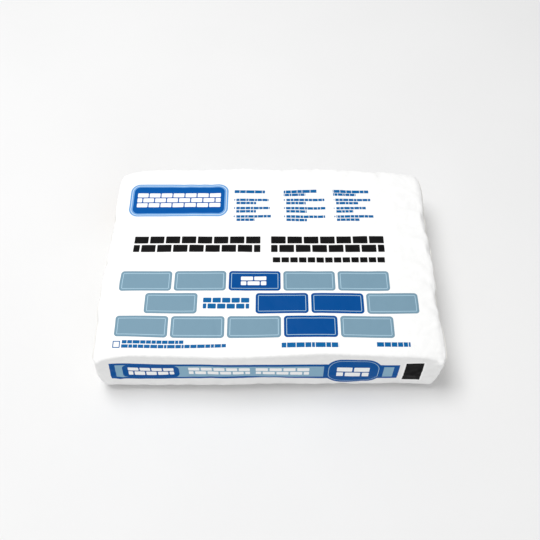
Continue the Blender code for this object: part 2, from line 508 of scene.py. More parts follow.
# The sheets pasted on the sack. Each thins towards its edges over the last stretch, in the steps given.
PASTE_GAP = 0.0001
THIN_STEPS = (0.00025, 0.0008)
THICK_AT_RIM = 0.45
PATCH_THICK = 0.0008
PATCH_CORNER = 0.006
PATCH_PITCH = 0.002
PATCH_DROP = 0.003
PATCH_RIPPLE = 0.00012
PATCH_RIPPLE_PITCH = 0.013
PLY_THICK = 0.0005
SLEEVE_PITCH = 0.0016
SLEEVE_DROP = 0.015
SLEEVE_CORNER = 0.030
SLEEVE_TURNS = 26
SLEEVE_CURL = 0.0022
SLEEVE_CURL_REACH = 0.018
SLEEVE_WAVE = 0.0003
SLEEVE_WAVE_PITCH = 0.02
SLEEVE_LIFT = 0.0002
# For each ply: how far it is set in from the sleeve's edges, and how many columns short it ends.
PLIES = ((0.0006, 0), (0.0, 2))
PLY_GAP = 0.0001
PLY_CURL_SHARE = 0.5
# How far outside the sleeve's corner its rays start, and how often outward directions are smoothed.
RAY_START = 0.15
SMOOTHING_PASSES = 3


def surface_of(piece):
    """The sack's surface, to lay other pieces on."""
    faces = [list(face.vertices) for face in piece.data.polygons]
    return BVHTree.FromPolygons([v.co for v in piece.data.vertices], faces)


def lay_on(surface, starts, ways):
    """Where rays meet the sack, and its outward direction there, smoothed over neighbouring rays."""
    hits, outs = np.zeros(starts.shape), np.zeros(starts.shape)
    for at in np.ndindex(starts.shape[:2]):
        hits[at], outs[at], _, _ = surface.ray_cast(Vector(starts[at]), Vector(ways[at]))
    for _ in range(SMOOTHING_PASSES):
        spread = np.pad(outs, ((1, 1), (1, 1), (0, 0)), "edge")
        outs = spread[:-2, 1:-1] + spread[2:, 1:-1] + spread[1:-1, :-2] + spread[1:-1, 2:] + outs
        outs /= np.linalg.norm(outs, axis=2, keepdims=True)
    return hits, outs


def sheet_between(name, hits, outs, below, above):
    """A closed sheet between two heights over the sack, with its edge walls."""
    levels = (np.broadcast_to(far, hits.shape[:2]) for far in (below, above))
    inner, outer = (hits + outs * far[:, :, None] for far in levels)
    rows, columns = inner.shape[:2]

    def at(row, column, side):
        return side * rows * columns + row * columns + column

    faces = []
    for row in range(rows - 1):
        for column in range(columns - 1):
            square = [(row, column), (row + 1, column), (row + 1, column + 1), (row, column + 1)]
            faces.append([at(r, c, 0) for r, c in square])
            faces.append([at(r, c, 1) for r, c in reversed(square)])
    rim = [(0, c) for c in range(columns)] + [(r, columns - 1) for r in range(1, rows)]
    rim += [(rows - 1, c) for c in range(columns - 2, -1, -1)] + [(r, 0) for r in range(rows - 2, 0, -1)]
    for here, there in zip(rim, rim[1:] + rim[:1]):
        faces.append([at(*here, 0), at(*there, 0), at(*there, 1), at(*here, 1)])
    piece = new_piece(name, np.concatenate([inner.reshape(-1, 3), outer.reshape(-1, 3)]), faces)
    first_outer_face = piece.data.polygons[1]
    if Vector(outer[0, 0] - inner[0, 0]).dot(first_outer_face.normal) < 0:
        piece.data.flip_normals()
    return piece


def spaced(low, high, pitch):
    """Even places from low to high, with two more close to each end where the sheet thins."""
    places = np.linspace(low, high, max(2, round((high - low) / pitch)) + 1)
    near, far = THIN_STEPS
    return np.concatenate([[low, low + near, low + far], places[1:-1], [high - far, high - near, high]])


def thin_edge(rows, columns, thickness):
    """Sheet thickness that falls away over the last stretch before each edge."""
    row = np.minimum(rows - rows[0], rows[-1] - rows)
    column = np.minimum(columns - columns[0], columns[-1] - columns)
    share = np.clip(np.minimum(row[:, None], column[None, :]) / THIN_STEPS[1], 0, 1)
    return thickness * (THICK_AT_RIM + (1 - THICK_AT_RIM) * np.sqrt(1 - (1 - share) ** 2))


def end_patch(name, node, surface, side):
    """The cover sheet pasted over the folded flaps of one end, with rounded corners."""
    low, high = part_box(node)
    heights = spaced(low.z, high.z - PATCH_DROP, PATCH_PITCH)
    across = spaced(low.y, high.y, PATCH_PITCH)
    from_rim = np.minimum(heights - heights[0], heights[-1] - heights)
    past = np.clip(PATCH_CORNER - from_rim, 0, None)
    inset = PATCH_CORNER - np.sqrt(PATCH_CORNER**2 - past**2)
    middle, half = (low.y + high.y) / 2, (high.y - low.y) / 2
    share = (across - middle) / half
    starts, ways = np.zeros((2, len(heights), len(across), 3))
    starts[:, :, 0] = side * LENGTH
    starts[:, :, 1] = middle + share[None, :] * (half - inset[:, None])
    starts[:, :, 2] = heights[:, None]
    ways[:, :, 0] = -side
    ripple = PATCH_RIPPLE * noise_at(starts, PATCH_RIPPLE_PITCH, shift=5.0)
    thick = thin_edge(heights, across, PATCH_THICK) + ripple
    return sheet_between(name, *lay_on(surface, starts, ways), PASTE_GAP, PASTE_GAP + thick)


def sleeve_route(low, high):
    """Rays at the sack along a level line, from the left end round its back corner to the long side.

    Each is where it starts and which way it goes, along and across.
    """
    corner = Vector((low.x + SLEEVE_CORNER, high.y - SLEEVE_CORNER, 0))
    rays = [(-LENGTH, y, 1, 0) for y in np.arange(low.y, corner.y, SLEEVE_PITCH)]
    for step in range(SLEEVE_TURNS + 1):
        angle = math.pi * (1 - 0.5 * step / SLEEVE_TURNS)
        x, y = math.cos(angle), math.sin(angle)
        rays.append((corner.x + RAY_START * x, corner.y + RAY_START * y, -x, -y))
    rays += [(x, WIDTH, 0, -1) for x in np.arange(corner.x + SLEEVE_PITCH, high.x, SLEEVE_PITCH)]
    return np.array(rays)


def valve_sleeve(surface):
    """The valve's two-ply kraft tongue, folded flat round the corner, its free end a little sprung."""
    low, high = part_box("valve_sleeve")
    route = sleeve_route(low, high)
    plies = []
    for ply, (inset, short) in enumerate(PLIES):
        heights = spaced(low.z + inset, high.z - SLEEVE_DROP - inset, SLEEVE_PITCH)
        rays = route[: len(route) - short]
        starts, ways = np.zeros((2, len(heights), len(rays), 3))
        starts[:, :, :2], ways[:, :, :2] = rays[:, :2], rays[:, 2:]
        starts[:, :, 2] = heights[:, None]
        hits, outs = lay_on(surface, starts, ways)
        run = run_along(hits[len(heights) // 2])
        curl = SLEEVE_CURL * np.clip(1 - (run[-1] - run) / SLEEVE_CURL_REACH, 0, 1) ** 2
        wave = SLEEVE_WAVE * noise_at(starts, SLEEVE_WAVE_PITCH, shift=9.0) + SLEEVE_LIFT
        spread = ply * (PLY_THICK + PLY_GAP + PLY_CURL_SHARE * curl[None, :])
        below = PASTE_GAP + spread + curl[None, :] + wave
        above = below + thin_edge(heights, run, PLY_THICK)
        plies.append(sheet_between(f"sleeve_ply_{ply}", hits, outs, below, above))
    return join_pieces("kraft_sleeve", plies)


def join_pieces(name, pieces):
    """One piece from several meshes, with nothing welded."""
    points, faces = [], []
    for piece in pieces:
        start = len(points)
        points += [tuple(v.co) for v in piece.data.vertices]
        faces += [[start + v for v in face.vertices] for face in piece.data.polygons]
        bpy.data.objects.remove(piece)
    return new_piece(name, points, faces)


# Node trees.

VECTOR = "NodeSocketVector"
COLOUR = "NodeSocketColor"
# How near two whole numbers have to be to match.
MATCH_WITHIN = 0.1


def numbers(*names):
    """Sockets for numbers, with the given names."""
    return dict.fromkeys(names, "NodeSocketFloat")


def maths_node(operation, turned=False):
    """A way to write one maths node as plain arithmetic, with its two sides turned round if need be."""

    def work_out(value, *others):
        sides = (value, *others)
        return value.wires.maths(operation, *(sides[::-1] if turned else sides))

    return work_out


class Value:
    """What a node puts out. Plain arithmetic with it adds the nodes that work the answer out."""

    def __init__(self, wires, socket):
        self.wires = wires
        self.socket = socket

    __add__ = maths_node("ADD")
    __sub__ = maths_node("SUBTRACT")
    __rsub__ = maths_node("SUBTRACT", turned=True)
    __mul__ = maths_node("MULTIPLY")
    __truediv__ = maths_node("DIVIDE")
    __rtruediv__ = maths_node("DIVIDE", turned=True)
    __mod__ = maths_node("MODULO")
    __abs__ = maths_node("ABSOLUTE")
    __gt__ = maths_node("GREATER_THAN")
    __lt__ = maths_node("LESS_THAN")
    at_least = maths_node("MAXIMUM")
    at_most = maths_node("MINIMUM")

    def held(self, low, high):
        return self.at_least(low).at_most(high)

    def matches(self, number):
        return self.wires.maths("COMPARE", self, number, MATCH_WITHIN)


class Wires:
    """Adds nodes to a node tree and joins them up."""

    def __init__(self, tree):
        self.tree = tree

    def feed(self, socket, value):
        if isinstance(value, Value):
            self.tree.links.new(value.socket, socket)
        else:
            socket.default_value = value

    def node(self, kind, inputs=(), **settings):
        made = self.tree.nodes.new(kind)
        for name, value in settings.items():
            setattr(made, name, value)
        for name, value in dict(inputs).items():
            self.feed(made.inputs[name], value)
        return made

    def value(self, kind, inputs=(), output=0, **settings):
        """What a new node puts out."""
        return Value(self, self.node(kind, inputs, **settings).outputs[output])

    def maths(self, operation, *values):
        return self.value("ShaderNodeMath", enumerate(values), operation=operation)

    def vectors(self, operation, vector, other):
        """A vector worked out from another, and from a second one or, for SCALE, a number."""
        inputs = {0: vector, "Scale" if operation == "SCALE" else 1: other}
        return self.value("ShaderNodeVectorMath", inputs, operation=operation)

    def split(self, vector):
        made = self.node("ShaderNodeSeparateXYZ", {0: vector})
        return [Value(self, socket) for socket in made.outputs]

    def blend(self, share, low, high):
        return self.value("ShaderNodeMix", {0: share, 6: low, 7: high}, output=2, data_type="RGBA")

    def steps(self, value, low, high, start=0.0, end=1.0):
        inputs = enumerate((value, low, high, start, end))
        return self.value("ShaderNodeMapRange", inputs, interpolation_type="SMOOTHSTEP")

    def noise(self, place, scale, detail, output=0, **more):
        inputs = {"Vector": place, "Scale": scale, "Detail": detail, **more}
        return self.value("ShaderNodeTexNoise", inputs, output)

    def chance(self, key):
        """A random number from 0 to 1 for each value of the key."""
        return self.value("ShaderNodeTexWhiteNoise", {"W": key}, noise_dimensions="1D")

    def effect(self, name, *inputs):
        """What a shared effect makes of its inputs, given in their order: each result by its name."""
        made = self.node("ShaderNodeGroup", enumerate(inputs), node_tree=bpy.data.node_groups[name])
        return SimpleNamespace(**{socket.name.lower(): Value(self, socket) for socket in made.outputs})

    def give(self, *results):
        """Puts out what a shared effect worked out, in the order of its results."""
        self.node("NodeGroupOutput", enumerate(results))


def new_effect(name, takes, gives):
    """A new shared effect with sockets of these names and kinds: its wires, and what it is given."""
    tree = bpy.data.node_groups.new(name, "ShaderNodeTree")
    for way, sockets in (("INPUT", takes), ("OUTPUT", gives)):
        for socket, kind in sockets.items():
            shown = socket.replace("_", " ").capitalize()
            tree.interface.new_socket(shown, in_out=way, socket_type=kind)
    wires = Wires(tree)
    inputs = wires.node("NodeGroupInput").outputs
    return wires, SimpleNamespace(**{n: Value(wires, socket) for n, socket in zip(takes, inputs)})


def ink_box_effect():
    """How far outside a rounded box on the paper a point is; inside it the distance is negative."""
    wires, given = new_effect(
        "ink_box",
        {"paper": VECTOR, **numbers("along", "across", "half_length", "half_height", "corner")},
        numbers("outside"),
    )
    u, v, _ = wires.split(given.paper)
    sides = ((u, given.along, given.half_length), (v, given.across, given.half_height))
    beyond = [abs(place - middle) - (half - given.corner) for place, middle, half in sides]
    outer = [b.at_least(0.0) for b in beyond]
    squares = [o * o for o in outer]
    round_part = wires.maths("SQRT", squares[0] + squares[1])
    flat_part = beyond[0].at_least(beyond[1]).at_most(0.0)
    wires.give(round_part + flat_part - given.corner)


# What sets the random numbers of rows, columns and blocks apart, and how far a joint may wander, in blocks.
ROW_KEYS = 31.7
COLUMN_KEYS = 57.3
BLOCK_KEYS = 3.1
JOINT_WANDER = 0.6


def ink_rows_effect():
    """Columns of rows of plain ink blocks of uneven length."""
    wires, given = new_effect(
        "ink_rows",
        {
            "paper": VECTOR,
            **numbers("left", "top", "width", "row_pitch", "rows", "row_height", "block_pitch", "joint"),
            **numbers("ragged", "seed", "column_pitch", "columns"),
        },
        numbers("ink"),
    )
    u, v, _ = wires.split(given.paper)
    down = (given.top - v) / given.row_pitch
    row = wires.maths("FLOOR", down)
    within = wires.maths("FRACT", down) * given.row_pitch
    in_row = within < given.row_height
    past_first = down > 0.0
    before_last = down < given.rows
    from_left = u - given.left
    column = wires.maths("FLOOR", from_left / given.column_pitch)
    column = column.held(0.0, given.columns - 1.0)
    along = from_left - column * given.column_pitch
    key = row * ROW_KEYS + given.seed
    key = column * COLUMN_KEYS + key
    kept = 1.0 - wires.chance(key) * given.ragged
    past_left = along > 0.0
    before_right = along < given.width * kept
    block = along / given.block_pitch
    number = wires.maths("FLOOR", block)
    nearest = None
    for step in (0.0, 1.0):
        joint = number + step
        shift = (wires.chance(joint + key * BLOCK_KEYS) - 0.5) * JOINT_WANDER
        away = abs(block - (joint + shift))
        nearest = away if nearest is None else nearest.at_most(away)
    ink = nearest * given.block_pitch > given.joint * 0.5
    for part in (in_row, past_first, before_last, past_left, before_right):
        ink = ink * part
    wires.give(ink)


def brick_wall_effect():
    """Courses of rounded bricks in running bond: the distance outside the nearest one, and its number."""
    wires, given = new_effect(
        "brick_wall",
        {"paper": VECTOR, **numbers("left", "right", "top", "courses", "pitch", "rise", "joint", "corner")},
        numbers("outside", "number"),
    )
    u, v, _ = wires.split(given.paper)
    half_joint = given.joint * 0.5
    course = wires.maths("FLOOR", (given.top + half_joint - v) / given.rise)
    course = course.held(0.0, given.courses - 1.0)
    half_height = given.rise * 0.5 - half_joint
    middle = course * given.rise + half_height
    start = given.left - course % 2.0 * (given.pitch * 0.5)
    held = u.held(given.left, given.right)
    number = wires.maths("FLOOR", (held + half_joint - start) / given.pitch)
    left = start + number * given.pitch
    right = left + given.pitch - given.joint
    left = left.at_least(given.left)
    right = right.at_most(given.right)
    place = ((left + right) * 0.5, given.top - middle)
    brick = wires.effect("ink_box", given.paper, *place, (right - left) * 0.5, half_height, given.corner)
    wires.give(brick.outside, number)


# Grain of the paper's mottle and fibre, and how the fibre is stretched.
CLOUD_SCALE = 60.0
FIBRE_SCALE = 700.0
FIBRE_STRETCH = (1.0, 3.0, 2.0)
# Layers of dents: how fine each one is, its share of the height, and its shift.
DENT_LAYERS = ((1.0, 1.0, 0.0), (2.3, 0.45, 5.0))
# Where on the fibre and on the mottle an ink turns thinner, and from which cover to which.
PALE_INK = (0.66, 0.82, 1.0, 0.93)
WORN_INK = (0.3, 0.7, 0.996, 1.0)


def paper_fibre_effect():
    """Fine felted fibre and cloudy mottle of pressed paper, and the height of its surface."""
    takes = {"place": VECTOR, **numbers("fineness")}
    wires, given = new_effect("paper_fibre", takes, numbers("cloud", "fibre", "height"))
    place = wires.vectors("SCALE", given.place, given.fineness)
    cloud = wires.noise(place, CLOUD_SCALE, detail=3.0)
    stretched = wires.vectors("MULTIPLY", place, FIBRE_STRETCH)
    fibre = wires.noise(stretched, FIBRE_SCALE, detail=4.0, Roughness=0.7, Distortion=0.6)
    wires.give(cloud, fibre, fibre * 0.7 + cloud * 0.3)


def handling_crease_effect():
    """The relief of paper that was handled: shallow dents that meet in crisp creases."""
    wires, given = new_effect("handling_creases", {"place": VECTOR, **numbers("pitch")}, numbers("height"))
    place = wires.vectors("SCALE", given.place, 1.0 / given.pitch)
    layers = []
    for scale, share, shift in DENT_LAYERS:
        dents = wires.noise(wires.vectors("ADD", place, (shift,) * 3), scale, detail=0.6, Distortion=0.35)
        layers.append(abs(dents - 0.5) * share)
    wires.give(layers[0] + layers[1])


def near_edge_effect():
    """How near a point is to one of the sack's twelve edges: 1 on it, and 0 in the middle of a side."""
    wires, given = new_effect("near_edge", {"place": VECTOR, **numbers("reach")}, numbers("edge"))
    limits = ((SACK_LOW.x, SACK_HIGH.x), (SACK_LOW.y, SACK_HIGH.y), (0.0, HEIGHT))
    sides = zip(wires.split(given.place), limits)
    a, b, c = [(place - low).at_most(high - place) for place, (low, high) in sides]
    nearer, further = a.at_most(b), a.at_least(b)
    second = further.at_most(nearer.at_least(c))
    wires.give(wires.steps(second / given.reach, 0.0, 1.0, 1.0, 0.0))


def press_ink_effect():
    """Lays one ink over what is there, thinner where the paper's fibre drank it."""
    takes = {"under": COLOUR, "ink": COLOUR, **numbers("mask", "cloud", "fibre")}
    wires, given = new_effect("press_ink", takes, {"colour": COLOUR, **numbers("inked")})
    pale = wires.steps(given.fibre, *PALE_INK)
    worn = wires.steps(given.cloud, *WORN_INK)
    cover = given.mask * (pale * worn)
    wires.give(wires.blend(cover, given.under, given.ink), cover)


# Colours as they are seen, in sRGB out of 255, and the inks they make.


def seen(red, green, blue):
    """A linear colour from an sRGB one out of 255."""

    def linear(c):
        c /= 255
        return c / 12.92 if c <= 0.04045 else ((c + 0.055) / 1.055) ** 2.4

    return (linear(red), linear(green), linear(blue), 1.0)


def shaded(colour, share):
    return tuple(share * c for c in colour[:3]) + (1.0,)


WHITE_PAPER = (0.905, 0.905, 0.90, 1.0)
PATCH_WHITE = (0.84, 0.825, 0.78, 1.0)
# Painted light: the white in the front side's print is set brighter than the paper, to offset the shade that
# falls on the side.
PAINTED_LIGHT_WHITE_INK = (0.97, 0.97, 0.965, 1.0)
BLUE_INK = seen(0, 73, 142)
ROW_INK = seen(6, 95, 154)
BADGE_INK = seen(0, 83, 159)
BADGE_EDGE_INK = seen(106, 158, 211)
GREY_BLUE_INK = seen(119, 150, 168)
GREY_BLUE_EDGE_INK = seen(98, 134, 154)
SIDE_BLUE_INK = seen(0, 82, 155)
# Painted light: the front side's grey-blue is the top's grey-blue ink painted lighter, to offset the shade
# that falls on the side.
PAINTED_LIGHT_SIDE_GREY_BLUE_INK = seen(140, 178, 201)
KEYLINE_INK = seen(178, 208, 224)
BLACK_INK = seen(12, 11, 12)
KRAFT_LIGHT = (0.53, 0.365, 0.205, 1.0)
KRAFT_DARK = (0.45, 0.295, 0.155, 1.0)
FLOOR_PALE = (0.80, 0.80, 0.80, 1.0)

# The relief of the papers, and how much more the unprinted ones were handled, and the kraft less.
EDGE_REACH = 0.045
BROAD_CREASE_PITCH = 0.060
BROAD_CREASE_DEPTH = 0.0030
FINE_CREASE_PITCH = 0.020
FINE_CREASE_DEPTH = 0.0018
FIBRE_DEPTH = 0.00006
PLAIN_HANDLED = 2.2
KRAFT_HANDLED = 0.8
# How rough the papers are, from the lows to the highs of the fibre, and how much smoother ink is.
PAPER_ROUGHNESS = (0.57, 0.67)
INK_SMOOTHS = 0.12
KRAFT_ROUGHNESS = (0.70, 0.85)
PAPER_SHINE = 0.05
# Where on the fibre and the mottle the paper darkens, and by how much.
FIBRE_BAND = (0.3, 0.7)
CLOUD_BAND = (0.35, 0.65)
CLOUD_SHADE = 0.972
FLECK_BAND = (0.70, 0.82)
FLECK_SHADE = 0.90
# How the kraft is streaked along its fibre, and what its colour is mixed from.
STREAK_STRETCH = (150.0, 150.0, 900.0)
STREAK_SHARE = 0.3
FIBRE_SHARE = 0.4
CLOUD_SHARE = 0.3
# How soft and how ragged the edge of a printed mark is.
EDGE_SOFTNESS = 0.00025
EDGE_WANDER = 0.00035
EDGE_WANDER_SCALE = 900.0
# A single row of blocks: its number and pitch. A single column: how ragged it ends, its pitch and number.
ONE_ROW = (1, 1.0)
ONE_COLUMN = (0.0, 1.0, 1)


class Print:
    """The printing of one material: inks laid over the bare paper, one mark after another.

    A box is its middle along and across the paper, its half length, half height and corner. A wall is its
    left, right, top and height, the bricks in a course, the courses, the joint and the bricks' corner.
    """

    def __init__(self, wires, colour, paper_fibre):
        self.wires = wires
        self.colour = colour
        self.paper_fibre = paper_fibre
        self.inked = None
        flat = wires.value("ShaderNodeUVMap", uv_map="paper")
        ragged = wires.noise(flat, EDGE_WANDER_SCALE, detail=2.0, output="Color")
        centred = wires.vectors("SUBTRACT", ragged, (0.5, 0.5, 0.5))
        self.paper = wires.vectors("ADD", flat, wires.vectors("SCALE", centred, EDGE_WANDER))

    def lay(self, ink, mask):
        cloud, fibre = self.paper_fibre.cloud, self.paper_fibre.fibre
        done = self.wires.effect("press_ink", self.colour, ink, mask, cloud, fibre)
        self.colour = done.colour
        self.inked = done.inked if self.inked is None else self.inked.at_least(done.inked)

    def inside(self, outside, inset=0.0):
        """A mask of what is inside a shape by at least the inset."""
        return self.wires.steps(outside, -inset - EDGE_SOFTNESS, -inset + EDGE_SOFTNESS, 1.0, 0.0)

    def line(self, outside, inset, thickness):
        """A mask of a thin line that follows a shape's edge, inside it."""
        return self.inside(outside, inset) - self.inside(outside, inset + thickness)

    def box(self, *box):
        """How far outside a rounded box each point is."""
        return self.wires.effect("ink_box", self.paper, *box).outside

    def filled_box(self, *box):
        return self.inside(self.box(*box))

    def wall(self, left, right, top, height, bricks, courses, joint, corner=0.0015):
        """Rounded bricks that fill a rectangle: the distance outside them, and their number."""
        pitch, rise = (right - left + joint) / bricks, (height + joint) / courses
        size = (left, right, top, courses, pitch, rise, joint, corner)
        return self.wires.effect("brick_wall", self.paper, *size)

    def bricks(self, *wall):
        """A mask of the bricks of a wall."""
        return self.inside(self.wall(*wall).outside)

    def rows(
        self, left, top, width, height, block, joint, seed, rise=0.0, repeats=ONE_ROW, columns=ONE_COLUMN
    ):
        """A mask of rows of small blocks, which rise along the paper if they are set askew."""
        paper = self.paper
        if rise:
            along, across, _ = self.wires.split(paper)
            across = across - (along - left) * rise
            paper = self.wires.value("ShaderNodeCombineXYZ", {0: along, 1: across})
        rows, row_pitch = repeats
        ragged, column_pitch, number = columns
        size = (left, top, width, row_pitch, rows, height, block, joint, ragged, seed, column_pitch, number)
        return self.wires.effect("ink_rows", paper, *size).ink


def shine_surface(wires, colour, roughness, shine):
    """Gives a material's shader its colour, roughness and shine, and gives back the shader."""
    shader = wires.tree.nodes["Principled BSDF"]
    for name, value in (("Base Color", colour), ("Roughness", roughness), ("Specular IOR Level", shine)):
        wires.feed(shader.inputs[name], value)
    return shader


def paper_surface(wires, place, fibre, colour, roughness, handled=1.0):
    """Joins a paper's colour and roughness to its shader, and its relief: dents, creases and fibre."""
    edge = wires.effect("near_edge", place, EDGE_REACH).edge
    broad = wires.effect("handling_creases", place, BROAD_CREASE_PITCH).height
    fine = wires.effect("handling_creases", place, FINE_CREASE_PITCH).height
    creased = ((broad, BROAD_CREASE_DEPTH * handled), (fine * edge, FINE_CREASE_DEPTH * handled))
    normal = {}
    for height, depth in (*creased, (fibre, FIBRE_DEPTH)):
        normal = {"Normal": wires.value("ShaderNodeBump", {"Height": height, "Distance": depth, **normal})}
    shader = shine_surface(wires, colour, roughness, PAPER_SHINE)
    wires.feed(shader.inputs["Normal"], normal["Normal"])


def new_material(name):
    """A new material, its wires, and the place of each point on the sack."""
    material = bpy.data.materials.new(name)
    material.use_nodes = True
    wires = Wires(material.node_tree)
    return material, wires, wires.value("ShaderNodeTexCoord", output="Object")


def bleached_paper(name, white, prints=None, handled=1.0):
    """White kraft paper, printed where prints says so, and creased more where it was handled more."""
    material, wires, place = new_material(name)
    paper = wires.effect("paper_fibre", place, 1.0)
    bare = wires.blend(wires.steps(paper.cloud, *CLOUD_BAND), shaded(white, CLOUD_SHADE), white)
    colour = wires.blend(wires.steps(paper.fibre, *FLECK_BAND), bare, shaded(white, FLECK_SHADE))
    roughness = wires.steps(paper.fibre, *FIBRE_BAND, *PAPER_ROUGHNESS)
    if prints:
        ink = Print(wires, colour, paper)
        prints(ink)
        colour = ink.colour
        roughness = roughness - ink.inked * INK_SMOOTHS
    paper_surface(wires, place, paper.height, colour, roughness, handled)
    return material


def kraft_paper():
    """Unbleached brown kraft, faintly streaked along its fibre."""
    material, wires, place = new_material("brown_kraft")
    paper = wires.effect("paper_fibre", place, 1.0)
    streak = wires.noise(wires.vectors("MULTIPLY", place, STREAK_STRETCH), 1.0, detail=4.0)
    mixed = paper.cloud * CLOUD_SHARE + (paper.fibre * FIBRE_SHARE + streak * STREAK_SHARE)
    colour = wires.blend(wires.steps(mixed, *CLOUD_BAND), KRAFT_DARK, KRAFT_LIGHT)
    roughness = wires.steps(paper.fibre, *FIBRE_BAND, *KRAFT_ROUGHNESS)
    paper_surface(wires, place, paper.height, colour, roughness, KRAFT_HANDLED)
    return material


# The print on the top, in metres along and across the paper from the middle of the top.
BADGE = (-0.1745, 0.1235, 0.0960, 0.0395, 0.019)
BADGE_EDGE = 0.0075
BADGE_LINE_INSET = 0.45 * BADGE_EDGE
BADGE_LINE = 0.0008
BADGE_WALL = (-0.2557, -0.0934, 0.1405, 0.0340, 7, 3, 0.0023)
BLACK_WALLS = (
    (-0.2500, -0.0160, 0.0370, 0.0350, 8, 2, 0.0030),
    (0.0035, 0.2115, 0.0370, 0.0350, 7, 2, 0.0030),
    (0.0066, 0.2100, -0.0093, 0.0112, 13, 1, 0.0022, 0.0012),
)
# The field of large bricks. For each course: where it starts, which bricks are blue, and which are left out.
COURSES = (
    (-0.2650, (2,), ()),
    (-0.2170, (2, 3), (1,)),
    (-0.2650, (3,), ()),
)
BRICKS_IN_COURSE = 5
FIELD_TOP = -0.0392
FIELD_JOINT = 0.0050
BRICK_LENGTH = 0.0918
BRICK_HEIGHT = 0.0407
BRICK_CORNER = 0.006
BRICK_EDGE = 0.0011
BRICK_KEYLINE_INSET = 0.0042
BRICK_KEYLINE = 0.0009
WALL_ON_BRICK = (-0.0500, -0.0050, -0.0505, 0.0180, 2, 2, 0.0022)
WALL_IN_GAP = (-0.1150, -0.0345, -0.0945, 0.0215, 5, 2, 0.0021)
# Three columns of rows of small blocks: two upper rows, and then pairs of rows, each with a dot before it.
COLUMN_LEFT = -0.0670
COLUMN_PITCH = 0.0951
COLUMN_WIDTH = 0.0800
COLUMN_JOINT = 0.0009
UPPER_TOP = 0.1479
UPPER_RAGGED = 0.24
PAIRS_TOP = 0.1266
PAIRS_PITCH = 0.0200
PAIRS = 3
PAIRS_RAGGED = 0.28
# Each row: how far right and down it starts, its share of the width, its height, block length and seed.
UPPER_ROWS = ((0.0, 0.0, 0.95, 0.0074, 0.0125, 2), (COLUMN_PITCH, 0.0084, 0.60, 0.0062, 0.0085, 5))
PAIR_ROWS = (
    (0.0, 0.0010, 0.028, 0.003808, 0.0100, 7),
    (0.0040, 0.0, 0.95, 0.0060, 0.0085, 8),
    (0.0045, 0.0078, 0.55, 0.0060, 0.0085, 9),
)
# The mark and the rows by the front edge: left, top, width, height, block length, joint, seed and rise.
OPEN_MARK = (-0.2590, -0.1866, 0.0066, 0.0066, 0.0015)
OPEN_MARK_LINE = 0.0018
FRONT_ROWS = (
    (-0.2500, -0.1785, 0.1055, 0.0062, 0.010, 0.0010, 31, 0.024),
    (-0.2500, -0.1865, 0.1775, 0.0062, 0.010, 0.0010, 32, 0.024),
    (0.0209, -0.1812, 0.0968, 0.0088, 0.012, 0.0012, 37),
    (0.1820, -0.1793, 0.0575, 0.0082, 0.011, 0.0012, 41),
)


def print_badge(ink):
    edge = ink.box(*BADGE)
    ink.lay(BADGE_EDGE_INK, ink.inside(edge))
    ink.lay(WHITE_PAPER, ink.line(edge, BADGE_LINE_INSET, BADGE_LINE))
    ink.lay(BADGE_INK, ink.inside(edge, BADGE_EDGE))
    ink.lay(WHITE_PAPER, ink.bricks(*BADGE_WALL))


def print_columns(ink):
    """Three columns of small rows. Only two of them have the second of the upper rows."""
    for rows, top, ragged, repeats in (
        (UPPER_ROWS, UPPER_TOP, UPPER_RAGGED, ONE_ROW),
        (PAIR_ROWS, PAIRS_TOP, PAIRS_RAGGED, (PAIRS, PAIRS_PITCH)),
    ):
        for right, down, share, height, block, seed in rows:
            columns = (ragged, COLUMN_PITCH, 3 if right < COLUMN_PITCH else 2)
            row = (COLUMN_LEFT + right, top - down, share * COLUMN_WIDTH, height, block, COLUMN_JOINT, seed)
            ink.lay(ROW_INK, ink.rows(*row, repeats=repeats, columns=columns))


def print_field(ink):
    """Three courses of large bricks, most of them grey-blue and some blue."""
    for row, (left, blue, bare) in enumerate(COURSES):
        right = left + BRICKS_IN_COURSE * (BRICK_LENGTH + FIELD_JOINT) - FIELD_JOINT
        top = FIELD_TOP - row * (BRICK_HEIGHT + FIELD_JOINT)
        brick = ink.wall(left, right, top, BRICK_HEIGHT, BRICKS_IN_COURSE, 1, FIELD_JOINT, BRICK_CORNER)
        shown = ink.inside(brick.outside)
        for number in bare:
            shown = shown * (1.0 - brick.number.matches(number))
        ink.lay(GREY_BLUE_EDGE_INK, shown)
        ink.lay(GREY_BLUE_INK, shown * ink.inside(brick.outside, BRICK_EDGE))
        for number in blue:
            ink.lay(BLUE_INK, shown * brick.number.matches(number))
        ink.lay(KEYLINE_INK, shown * ink.line(brick.outside, BRICK_KEYLINE_INSET, BRICK_KEYLINE))


def print_top(ink):
    print_badge(ink)
    print_columns(ink)
    for wall in BLACK_WALLS:
        ink.lay(BLACK_INK, ink.bricks(*wall))
    print_field(ink)
    ink.lay(WHITE_PAPER, ink.bricks(*WALL_ON_BRICK))
    ink.lay(ROW_INK, ink.bricks(*WALL_IN_GAP))
    ink.lay(ROW_INK, ink.line(ink.box(*OPEN_MARK), 0.0, OPEN_MARK_LINE))
    for row in FRONT_ROWS:
        ink.lay(ROW_INK, ink.rows(*row))


